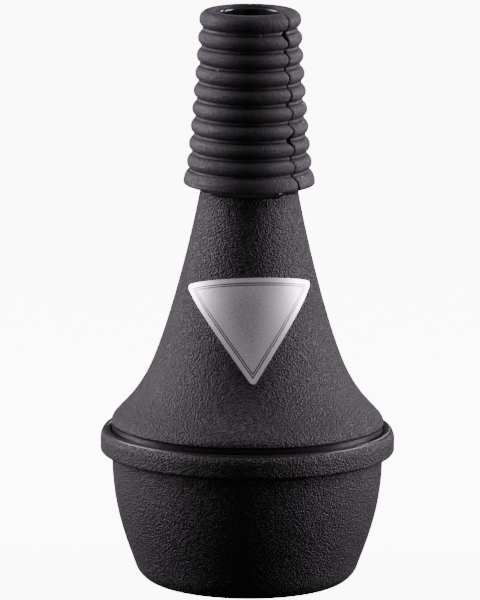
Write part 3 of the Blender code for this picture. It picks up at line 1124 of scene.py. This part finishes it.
@dataclass
class TurnedTrim:
    """Throat tube, cement, seal, damping ring and vent, turned from short sections.

    Attributes:
        body: The spun body that they sit in.
        finishes: Their materials by name.
        tube_wall: Wall of the throat tube.
        tube_lip: Thickness of its rolled lip.
        cement_run: How far the cement runs down from the sleeve's foot.
        cement_proud: How far it bulges out of the cone.
        lumps: Scale of its lumps and of the finer ones round the cone.
        run_shares: Share of the run that is even, lumpy and finely lumpy.
        bulge_shares: Share of the bulge that is even and finely lumpy.
        vent_bore: Inner radius of the eyelet.
        vent_wall: Its wall.
        vent_roll: Radius of its rolled end.
        rings: The plain rings.
    """

    body: SpunBody
    finishes: dict[str, Material]
    tube_wall: float = 0.00045
    tube_lip: float = 0.0005
    cement_run: float = 0.0021
    cement_proud: float = 0.0007
    lumps: Point = (2.6, 8.0)
    run_shares: tuple[float, float, float] = (0.82, 0.35, 0.14)
    bulge_shares: Point = (0.8, 0.5)
    vent_bore: float = 0.0017
    vent_wall: float = 0.0005
    vent_roll: float = 0.0034
    rings: tuple[PlainRing, ...] = (
        PlainRing("rim_seal", "seal_ring", "seal", "seal_rubber", 0.0004, TURNING.steps),
        PlainRing("damping_ring", "felt_ring", "felt", "felt", 0.0012, TURNING.fine_steps),
        PlainRing("vent_washer", "washer", "steel", "plated_steel", 0.00015, TURNING.fine_steps))

    def throat_tube(self) -> Piece:
        """Glossy tube whose rolled lip covers the neck's end.

        Returns:
            The piece.
        """
        low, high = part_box("throat_tube")
        outer = self.body.neck_top - TURNING.sheet - TURNING.gap
        inner, roll = outer - self.tube_wall, self.tube_lip / 2
        under = high[2] - self.tube_lip
        path = [(inner, low[2]), (outer, low[2]), (outer, under), (high[0] - roll, under)]
        path += arc((high[0] - roll, high[2] - roll), roll, -90, 90, 10)
        path += arc((inner + self.tube_lip, under), self.tube_lip, 90, 180, 8)
        bm = section_ring(path, TURNING.fine_steps)
        return finished("throat_tube_gloss", bm, self.finishes["tube"],
                        "throat_tube", Shading.CRISP)

    def cement(self) -> Piece:
        """Uneven glossy line squeezed out under the sleeve, with a wavy lower edge.

        Returns:
            The piece.
        """
        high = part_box("cement_bead")[1][2]
        low, steps = high - self.cement_run, 10
        cone = self.body.cone_outside()
        path = [(radius_at(cone, high), high), (radius_at(cone, low), low)]
        for i in range(1, steps + 1):
            z = low + (high - low) * i / steps
            bulge = self.cement_proud * math.sin(math.pi * i / steps / 2) ** 0.6
            path.append((radius_at(cone, z) + bulge, z))
        bm = section_ring(path, TURNING.steps)
        run, run_lump, run_fine = self.run_shares
        for vert in bm.verts:
            turn = math.atan2(vert.co.y, vert.co.x)
            proud = math.hypot(vert.co.x, vert.co.y) - radius_at(cone, vert.co.z)
            lump = noise.noise(polar(self.lumps[0], turn, 0.4))
            finer = noise.noise(polar(self.lumps[1], turn, 2.0))
            z = high - (high - vert.co.z) * (run + run_lump * lump + run_fine * finer)
            swollen = proud * (self.bulge_shares[0] + self.bulge_shares[1] * finer)
            vert.co = polar(radius_at(cone, z) + swollen, turn, z)
        return finished("cement_line", bm, self.finishes["cement"], "cement_bead")

    def eyelet(self) -> Piece:
        """Brass eyelet through the base, its head outside and its rolled end inside.

        Returns:
            The piece.
        """
        low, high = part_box("vent_eyelet")
        bore, head, end = self.vent_bore, high[0], self.vent_roll
        barrel, roll = bore + self.vent_wall, self.vent_wall / 2
        bottom, top = low[2], high[2]
        path = arc((bore + roll, bottom + roll), roll, 180, 270, 8)
        path += arc((head - roll, bottom + roll), roll, -90, 90, 10)
        path += [(barrel, bottom + self.vent_wall), (barrel, top - self.vent_wall)]
        path += arc((end - roll, top - roll), roll, -90, 90, 10)
        path += arc((bore + roll, top - roll), roll, 90, 180, 8)
        bm = section_ring(path, TURNING.fine_steps)
        return finished("brass_eyelet", bm, self.finishes["brass"], "vent_eyelet")

    def build(self) -> list[Piece]:
        """Turns every small piece.

        Returns:
            The pieces.
        """
        pieces = [self.throat_tube(), self.cement()]
        for ring in self.rings:
            bm = section_ring(ring.section(), ring.steps)
            pieces.append(finished(ring.name, bm, self.finishes[ring.finish], ring.node))
        return pieces + [self.eyelet()]


# Nameplate

@dataclass
class Nameplate:
    """Bare foil plate, a flat rounded triangle bent round the cone.

    Attributes:
        foil: Its finish.
        body: The spun body that it is stuck to.
        corner: How far along its sides each corner is rounded.
        columns: Strips across it.
        rows: Strips down it.
        thickness: Thickness of the foil and its backing.
        lift: Room under it.
        drop: From the sleeve's foot to its top edge.
        azimuth: Where its middle lies, in degrees.
        tilt: How far it is askew, in degrees, right corner up.
    """

    foil: Material
    body: SpunBody
    corner: float = 0.0020
    columns: int = 40
    rows: int = 30
    thickness: float = 0.00022
    lift: float = 0.00006
    drop: float = 0.0238
    azimuth: float = -88.8
    tilt: float = 1.7

    def flat(self) -> BMesh:
        """The flat triangle with round corners, cut into a fine grid and mapped.

        Returns:
            The flat sheet.
        """
        bm = bmesh.new()
        flat_corners = ((-PLATE.half, 0, 0), (0, -PLATE.tip, 0), (PLATE.half, 0, 0))
        bm.faces.new([bm.verts.new(corner) for corner in flat_corners])
        bmesh.ops.bevel(bm, geom=bm.verts[:], offset=self.corner, offset_type="OFFSET",
                        segments=10, profile=0.5, affect="VERTICES", material=-1)
        cuts = [(2 * PLATE.half * i / self.columns - PLATE.half, Vector((1, 0, 0)))
                for i in range(1, self.columns)]
        cuts += [(-PLATE.height * i / self.rows, Vector((0, 1, 0))) for i in range(1, self.rows)]
        for place, normal in cuts:
            bmesh.ops.bisect_plane(bm, geom=bm.verts[:] + bm.edges[:] + bm.faces[:], dist=1e-7,
                                   plane_co=normal * place, plane_no=normal)
        flat_map = bm.loops.layers.uv.new("flat")
        for face in bm.faces:
            for loop in face.loops:
                x, y, _ = loop.vert.co
                loop[flat_map].uv = (x / PLATE.span + PLATE.across, y / PLATE.span + PLATE.up)
        return bm

    def build(self) -> list[Piece]:
        """Bends the flat sheet round the cone and gives it its thickness.

        Returns:
            The piece.
        """
        bm = self.flat()
        cone = self.body.cone_outside()
        top = self.body.sleeve_foot - self.drop
        spread = radius_at(cone, top - PLATE.height) - radius_at(cone, top)
        lean = math.atan2(spread, PLATE.height)
        apex = radius_at(cone, top) / math.sin(lean)
        tilt = math.radians(self.tilt)
        for vert in bm.verts:
            x = vert.co.x * math.cos(tilt) - vert.co.y * math.sin(tilt)
            down = apex - vert.co.y * math.cos(tilt) - vert.co.x * math.sin(tilt)
            turn = math.radians(self.azimuth) + math.atan2(x, down) / math.sin(lean)
            z = top - (math.hypot(x, down) - apex) * math.cos(lean)
            vert.co = polar(radius_at(cone, z) + self.lift, turn, z)
        bm.normal_update()
        bmesh.ops.solidify(bm, geom=bm.faces[:], thickness=-self.thickness)
        bmesh.ops.recalc_face_normals(bm, faces=bm.faces[:])
        return [finished("foil_plate", bm, self.foil, "nameplate", Shading.CRISP)]


# Studio

@dataclass(frozen=True)
class Softbox:
    """A soft light that faces the mute.

    Attributes:
        name: The light's name.
        azimuth: Degrees from the camera's side, positive to the right.
        elevation: Degrees above the floor.
        distance: Metres from the mute's middle.
        width: Width of the box.
        height: Height of the box.
        power: Watts.
        colour: Its colour, faintly purple as the photograph's light is.
    """

    name: str
    azimuth: float
    elevation: float
    distance: float
    width: float
    height: float
    power: float
    colour: Colour = (0.99, 0.86, 1.0)

    def build(self) -> None:
        """Places the light."""
        data = bpy.data.lights.new(self.name, "AREA")
        data.shape = "RECTANGLE"
        data.size, data.size_y = self.width, self.height
        data.energy = self.power
        data.color = self.colour
        box = bpy.data.objects.new(self.name, data)
        box.visible_camera = False
        bpy.context.collection.objects.link(box)
        lift = math.radians(self.elevation)
        direction = polar(math.cos(lift), math.radians(self.azimuth - 90), math.sin(lift))
        turned = direction.to_track_quat("Z", "Y").to_matrix().to_4x4()
        middle = Vector((0.0, 0.0, 0.08))
        box.matrix_world = Matrix.Translation(middle + direction * self.distance) @ turned


@dataclass
class Studio:
    """Pale floor, soft lights and the camera at the photograph's angle.

    Attributes:
        distance: Metres from the camera to its aim.
        elevation: Degrees that it looks down.
        aim: The point that it looks at.
        roll: Degrees that it is turned about its view.
        focal: Focal length, in millimetres.
        sensor: Height of its sensor, in millimetres.
        floor_size: Half the floor's width.
        sweep: Brightness of the floor and of what lies beyond it.
        fill: Brightness of the room that the mute reflects.
        fill_below: Share of it that comes from under the floor's level.
        boxes: The lights.
    """

    distance: float = 2.263
    elevation: float = 10.7
    aim: Colour = (-0.00238, 0.0, 0.0815)
    roll: float = 0.39
    focal: float = 476.4
    sensor: float = 36.0
    floor_size: float = 6.0
    sweep: float = 9.0
    fill: float = 0.20
    fill_below: float = 0.12
    boxes: tuple[Softbox, ...] = (
        Softbox("left_box", -106.0, 20.0, 0.8, 0.5, 0.8, 19.0),
        Softbox("right_box", 101.0, 20.0, 0.8, 0.5, 0.8, 20.0),
        Softbox("back_box", 163.0, 24.0, 1.1, 0.16, 0.16, 1.6))

    def camera(self) -> None:
        """Places the camera."""
        data = bpy.data.cameras.new("photo_camera")
        data.sensor_fit = "VERTICAL"
        data.sensor_height = self.sensor
        data.lens = self.focal
        data.clip_start, data.clip_end = 0.05, 50.0
        eye = bpy.data.objects.new("photo_camera", data)
        bpy.context.collection.objects.link(eye)
        lift = math.radians(self.elevation)
        offset = Vector((0.0, -math.cos(lift), math.sin(lift))) * self.distance
        turned = (-offset).to_track_quat("-Z", "Y").to_matrix().to_4x4()
        roll = Matrix.Rotation(math.radians(self.roll), 4, "Z")
        eye.matrix_world = Matrix.Translation(Vector(self.aim) + offset) @ turned @ roll
        bpy.context.scene.camera = eye

    def floor(self) -> None:
        """Lays the pale floor, lit from inside so that it stays as white as a product sweep."""
        bm = bmesh.new()
        bmesh.ops.create_grid(bm, x_segments=1, y_segments=1, size=self.floor_size)
        mesh = bpy.data.meshes.new("floor")
        bm.to_mesh(mesh)
        bm.free()
        material = bpy.data.materials.new("pale_floor")
        material.use_nodes = True
        graph = Graph(material.node_tree)
        shader = graph.add("BsdfPrincipled", Base_Color=(0.93, 0.93, 0.93, 1.0), Roughness=0.85,
                           Emission_Color=(1.0, 1.0, 1.0, 1.0), Emission_Strength=self.sweep)
        graph.add("OutputMaterial", Surface=shader.outputs[0])
        mesh.materials.append(material)
        ground = bpy.data.objects.new("floor", mesh)
        ground.visible_diffuse = ground.visible_glossy = False
        bpy.context.collection.objects.link(ground)

    def room(self) -> None:
        """Wires the world: dim for the mute, darker from below, and as white as the floor."""
        world = bpy.data.worlds.new("studio")
        bpy.context.scene.world = world
        world.use_nodes = True
        graph = Graph(world.node_tree)
        seen = graph.add("LightPath").outputs["Is Camera Ray"]
        direction = graph.add("TexCoord").outputs["Generated"]
        level = graph.add("SeparateXYZ", Vector=direction).outputs["Z"]
        fill = graph.between(level, -0.75, -0.2, self.fill_below * self.fill, self.fill)
        strength = graph.math("ADD", fill, graph.math("MULTIPLY", seen, self.sweep))
        background = graph.add("Background", Color=(1.0, 0.95, 1.0, 1.0), Strength=strength)
        graph.add("OutputWorld", Surface=background.outputs[0])

    def build(self) -> None:
        """Sets up the whole studio."""
        self.camera()
        self.floor()
        self.room()
        for box in self.boxes:
            box.build()


def make_finishes() -> dict[str, Material]:
    """Builds the shared groups and every finish.

    Returns:
        The materials by the name of what they cover.
    """
    make_group("grain", {"Fine Scale": 2500.0, "Patch Scale": 60.0}, wire_grain)
    make_group("specks", {"Scale": 400.0, "Rarity": 0.96}, wire_specks)
    rim_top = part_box("bottom_cup")[1][2]
    coat = CrackleCoat("black_crackle", (0.004, 0.0036, 0.004), (0.013, 0.0115, 0.0125),
                       0.33, 0.56, ior=1.38, depth=0.00024,
                       smooth_from=rim_top - 0.0007, smooth_to=rim_top + 0.01)
    finishes = {
        "cup": coat,
        "cone": replace(coat, name="black_crackle_cone", smooth_from=rim_top - 0.006,
                        smooth_to=rim_top + 0.0016),
        "sleeve": MouldedRubber("dull_rubber", (0.013, 0.012, 0.0135), (0.022, 0.021, 0.023),
                                0.58, 0.78, ior=1.40, fine_scale=1400.0, depth=0.00026),
        "cement": Finish("dried_cement", (0.006, 0.006, 0.006), (0.014, 0.014, 0.015),
                         0.08, 0.22, fine_scale=500.0, depth=0.00005),
        "tube": Finish("gloss_black", (0.008, 0.008, 0.009), (0.016, 0.016, 0.018),
                       0.12, 0.26, fine_scale=900.0, depth=0.000012),
        "foil": BrushedFoil("silver_foil", (0.55, 0.52, 0.55), (0.95, 0.91, 0.95),
                            0.36, 0.52, metallic=1.0, fine_scale=1500.0, depth=0.00004),
        "seal": Finish("seal_rubber", (0.012, 0.012, 0.012), (0.024, 0.024, 0.024), 0.6, 0.75),
        "felt": Finish("grey_felt", (0.10, 0.10, 0.10), (0.20, 0.20, 0.20),
                       0.9, 1.0, fine_scale=4000.0, depth=0.0003),
        "brass": Finish("drawn_brass", (0.52, 0.37, 0.16), (0.72, 0.55, 0.27),
                        0.25, 0.42, metallic=1.0, fine_scale=3500.0, depth=0.00001),
        "steel": Finish("zinc_steel", (0.40, 0.40, 0.41), (0.58, 0.58, 0.60),
                        0.28, 0.45, metallic=1.0, fine_scale=3500.0, depth=0.00001),
    }
    return {name: finish.build() for name, finish in finishes.items()}


def main() -> None:
    """Builds the studio and every sub-assembly in order, and reports each piece."""
    logging.basicConfig(level=logging.INFO)
    Studio().build()
    finishes = make_finishes()
    body = SpunBody(finishes["cup"], finishes["cone"])
    for assembly in (body, Sleeve(finishes["sleeve"], body), TurnedTrim(body, finishes),
                     Nameplate(finishes["foil"], body)):
        for piece in assembly.build():
            LOG.info("%s: %d faces", piece.name, len(piece.data.polygons))


if __name__ == "__main__":
    main()
